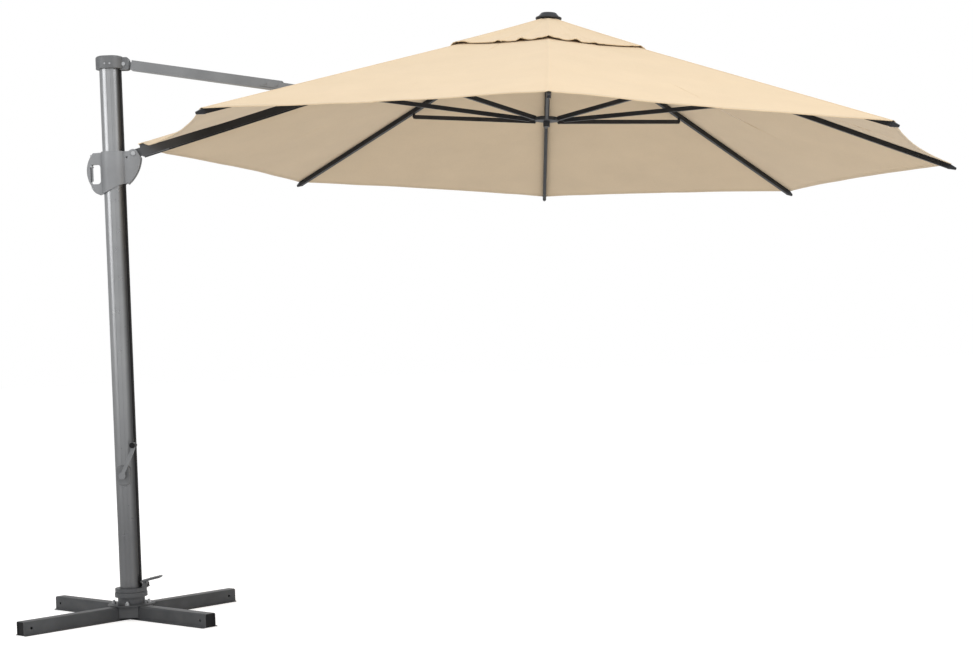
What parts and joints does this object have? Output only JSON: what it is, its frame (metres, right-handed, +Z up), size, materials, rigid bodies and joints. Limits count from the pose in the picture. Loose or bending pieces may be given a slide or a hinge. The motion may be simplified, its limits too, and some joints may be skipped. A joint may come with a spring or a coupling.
{
  "type": "cantilever parasol",
  "caption": "Octagonal cantilever parasol with cross base, turning mast, sliding arm with strut, D-shaped handle and crank-folded ribs",
  "frame": {"origin": "on the mast's axis at ground level", "axes": "+Z up, +X from the mast towards the canopy, -Y towards the side with the crank"},
  "size_m": [4.0605, 3.5408, 2.5439],
  "materials": {
    "base_paint": "dark grey textured powder coat",
    "black_plastic": "black moulded plastic",
    "zinc": "zinc-plated steel",
    "foot_paint": "grey powder coat",
    "mast_paint": "silver-grey coated aluminium",
    "slider_plastic": "grey moulded nylon",
    "crank_paint": "grey coated steel",
    "arm_paint": "charcoal powder coat",
    "rib_paint": "charcoal powder coat",
    "hub_plastic": "dark grey moulded nylon",
    "canopy_fabric": "woven beige polyester"
  },
  "bodies": {
    "base": {"base_beam_long": "base_paint", "base_beam_left": "base_paint", "base_beam_right": "base_paint", "base_beam_ends": "black_plastic", "base_plate": "base_paint", "base_gussets": "base_paint", "anchor_bolts": "zinc", "swivel_post": "foot_paint"},
    "mast": {"mast_foot": "foot_paint", "mast_tube": "mast_paint", "mast_strip": "black_plastic", "top_cap": "slider_plastic", "cap_fixings": "zinc", "crank_housing": "slider_plastic", "pedal_bracket": "foot_paint"},
    "pedal": {"foot_pedal": "foot_paint"},
    "crank": {"crank_shaft": "crank_paint", "crank_arm": "crank_paint"},
    "knob": {"crank_knob": "black_plastic"},
    "slider": {"slider_shell_front": "slider_plastic", "slider_shell_back": "slider_plastic", "slider_bushes": "black_plastic", "slider_fixings": "zinc", "arm_pin": "zinc"},
    "lever": {"release_lever": "slider_plastic"},
    "arm": {"arm_channel": "arm_paint", "arm_root": "arm_paint", "arm_head": "arm_paint", "arm_bracket": "arm_paint", "arm_bush": "arm_paint", "gore_arm": "canopy_fabric"},
    "strut": {"strut_tube": "mast_paint", "strut_eye": "mast_paint", "strut_fork": "mast_paint"},
    "hub": {"upper_hub": "hub_plastic", "hub_pins": "zinc", "finial": "hub_plastic"},
    "runner": {"runner": "hub_plastic"},
    "rib_far": {"rib_far": "rib_paint", "gore_far": "canopy_fabric"},
    "brace_far": {"brace_far": "rib_paint"},
    "rib_far_back": {"rib_far_back": "rib_paint", "gore_far_back": "canopy_fabric"},
    "brace_far_back": {"brace_far_back": "rib_paint"},
    "rib_back": {"rib_back": "rib_paint", "gore_back": "canopy_fabric"},
    "brace_back": {"brace_back": "rib_paint"},
    "rib_near_back": {"rib_near_back": "rib_paint", "gore_near_back": "canopy_fabric"},
    "brace_near_back": {"brace_near_back": "rib_paint"},
    "rib_near_front": {"rib_near_front": "rib_paint", "gore_near_front": "canopy_fabric"},
    "brace_near_front": {"brace_near_front": "rib_paint"},
    "rib_front": {"rib_front": "rib_paint", "gore_front": "canopy_fabric"},
    "brace_front": {"brace_front": "rib_paint"},
    "rib_far_front": {"rib_far_front": "rib_paint", "gore_far_front": "canopy_fabric"},
    "brace_far_front": {"brace_far_front": "rib_paint"},
    "brace_arm": {"brace_arm": "rib_paint"}
  },
  "joints": [
    {"name": "mast_swivel", "type": "hinge", "parent": "base", "child": "mast", "pos_m": [0, 0, 0.15], "axis": [0, 0, 1], "continuous": true},
    {"name": "pedal_press", "type": "hinge", "parent": "mast", "child": "pedal", "pos_m": [0.064, 0, 0.145], "axis": [0, 1, 0], "range_deg": [0, 12], "stiffness_Nm_per_rad": 14, "springref_deg": -11.46},
    {"name": "slider_slide", "type": "slide", "parent": "mast", "child": "slider", "axis": [0, 0, -1], "range_m": [0, 1.1]},
    {"name": "lever_squeeze", "type": "hinge", "parent": "slider", "child": "lever", "pos_m": [-0.0945, 0, 1.951], "axis": [0, 1, 0], "range_deg": [0, 4], "stiffness_Nm_per_rad": 2, "springref_deg": -8.59},
    {"name": "arm_tilt", "type": "hinge", "parent": "slider", "child": "arm", "pos_m": [0.089, 0, 2.001], "axis": [0, -1, 0], "range_deg": [0, 43]},
    {"name": "strut_tilt", "type": "hinge", "parent": "mast", "child": "strut", "pos_m": [0.062, 0, 2.385], "axis": [0, 1, 0], "range_deg": [0, 46.95]},
    {"name": "canopy_fold", "type": "hinge", "parent": "arm", "child": "hub", "pos_m": [1.83463, 0, 2.47696], "axis": [0, 1, 0], "range_deg": [0, 69], "deforming": ["gore_far", "gore_far_back", "gore_back", "gore_near_back", "gore_near_front", "gore_front", "gore_far_front", "gore_arm"]},
    {"name": "runner_slide", "type": "slide", "parent": "hub", "child": "runner", "axis": [-0.0523, 0, -0.9986], "range_m": [0, 1.2877]},
    {"name": "crank_turn", "type": "hinge", "parent": "mast", "child": "crank", "pos_m": [0, -0.09, 0.62], "axis": [0, -1, 0], "range_deg": [0, 3709]},
    {"name": "knob_spin", "type": "hinge", "parent": "crank", "child": "knob", "pos_m": [0.05816, -0.09, 0.75064], "axis": [0, -1, 0], "continuous": true},
    {"name": "rib_far_fold", "type": "hinge", "parent": "hub", "child": "rib_far", "pos_m": [1.94448, 0, 2.47121], "axis": [0, 1, 0], "range_deg": [0, 69.05]},
    {"name": "brace_far_turn", "type": "hinge", "parent": "rib_far", "child": "brace_far", "pos_m": [2.74538, 0, 2.13355], "axis": [0, -1, 0], "range_deg": [0, 152.75]},
    {"name": "rib_far_back_fold", "type": "hinge", "parent": "hub", "child": "rib_far_back", "pos_m": [1.9284, 0.03889, 2.47205], "axis": [-0.7061, 0.7071, 0.037], "range_deg": [0, 69.05]},
    {"name": "brace_far_back_turn", "type": "hinge", "parent": "rib_far_back", "child": "brace_far_back", "pos_m": [2.49019, 0.61693, 2.14693], "axis": [0.7061, -0.7071, -0.037], "range_deg": [0, 152.75]},
    {"name": "rib_back_fold", "type": "hinge", "parent": "hub", "child": "rib_back", "pos_m": [1.88956, 0.055, 2.47409], "axis": [-0.9986, 0, 0.0523], "range_deg": [0, 69.05]},
    {"name": "brace_back_turn", "type": "hinge", "parent": "rib_back", "child": "brace_back", "pos_m": [1.8741, 0.87247, 2.17922], "axis": [0.9986, 0, -0.0523], "range_deg": [0, 152.75]},
    {"name": "rib_near_back_fold", "type": "hinge", "parent": "hub", "child": "rib_near_back", "pos_m": [1.85072, 0.03889, 2.47612], "axis": [-0.7061, -0.7071, 0.037], "range_deg": [0, 69.05]},
    {"name": "brace_near_back_turn", "type": "hinge", "parent": "rib_near_back", "child": "brace_near_back", "pos_m": [1.25802, 0.61693, 2.2115], "axis": [0.7061, 0.7071, -0.037], "range_deg": [0, 152.75]},
    {"name": "rib_near_front_fold", "type": "hinge", "parent": "hub", "child": "rib_near_front", "pos_m": [1.85072, -0.03889, 2.47612], "axis": [0.7061, -0.7071, -0.037], "range_deg": [0, 69.05]},
    {"name": "brace_near_front_turn", "type": "hinge", "parent": "rib_near_front", "child": "brace_near_front", "pos_m": [1.25802, -0.61693, 2.2115], "axis": [-0.7061, 0.7071, 0.037], "range_deg": [0, 152.75]},
    {"name": "rib_front_fold", "type": "hinge", "parent": "hub", "child": "rib_front", "pos_m": [1.88956, -0.055, 2.47409], "axis": [0.9986, 0, -0.0523], "range_deg": [0, 69.05]},
    {"name": "brace_front_turn", "type": "hinge", "parent": "rib_front", "child": "brace_front", "pos_m": [1.8741, -0.87247, 2.17922], "axis": [-0.9986, 0, 0.0523], "range_deg": [0, 152.75]},
    {"name": "rib_far_front_fold", "type": "hinge", "parent": "hub", "child": "rib_far_front", "pos_m": [1.9284, -0.03889, 2.47205], "axis": [0.7061, 0.7071, -0.037], "range_deg": [0, 69.05]},
    {"name": "brace_far_front_turn", "type": "hinge", "parent": "rib_far_front", "child": "brace_far_front", "pos_m": [2.49019, -0.61693, 2.14693], "axis": [-0.7061, -0.7071, 0.037], "range_deg": [0, 152.75]},
    {"name": "brace_arm_turn", "type": "hinge", "parent": "arm", "child": "brace_arm", "pos_m": [1.00283, 0, 2.22488], "axis": [0, 1, 0], "range_deg": [0, 152.75]}
  ],
  "couplings": [
    {"joint": "arm_tilt", "follows": "slider_slide", "rad_per_m": 0.68149},
    {"joint": "strut_tilt", "follows": "slider_slide", "rad_per_m": 0.74406},
    {"joint": "runner_slide", "follows": "canopy_fold", "m_per_rad": 1.0685},
    {"joint": "crank_turn", "follows": "canopy_fold", "ratio": 53.739},
    {"joint": "rib_far_fold", "follows": "canopy_fold", "ratio": 1},
    {"joint": "brace_far_turn", "follows": "canopy_fold", "ratio": 2.2123},
    {"joint": "rib_far_back_fold", "follows": "canopy_fold", "ratio": 1},
    {"joint": "brace_far_back_turn", "follows": "canopy_fold", "ratio": 2.2123},
    {"joint": "rib_back_fold", "follows": "canopy_fold", "ratio": 1},
    {"joint": "brace_back_turn", "follows": "canopy_fold", "ratio": 2.2123},
    {"joint": "rib_near_back_fold", "follows": "canopy_fold", "ratio": 1},
    {"joint": "brace_near_back_turn", "follows": "canopy_fold", "ratio": 2.2123},
    {"joint": "rib_near_front_fold", "follows": "canopy_fold", "ratio": 1},
    {"joint": "brace_near_front_turn", "follows": "canopy_fold", "ratio": 2.2123},
    {"joint": "rib_front_fold", "follows": "canopy_fold", "ratio": 1},
    {"joint": "brace_front_turn", "follows": "canopy_fold", "ratio": 2.2123},
    {"joint": "rib_far_front_fold", "follows": "canopy_fold", "ratio": 1},
    {"joint": "brace_far_front_turn", "follows": "canopy_fold", "ratio": 2.2123},
    {"joint": "brace_arm_turn", "follows": "canopy_fold", "ratio": 2.2123}
  ]
}
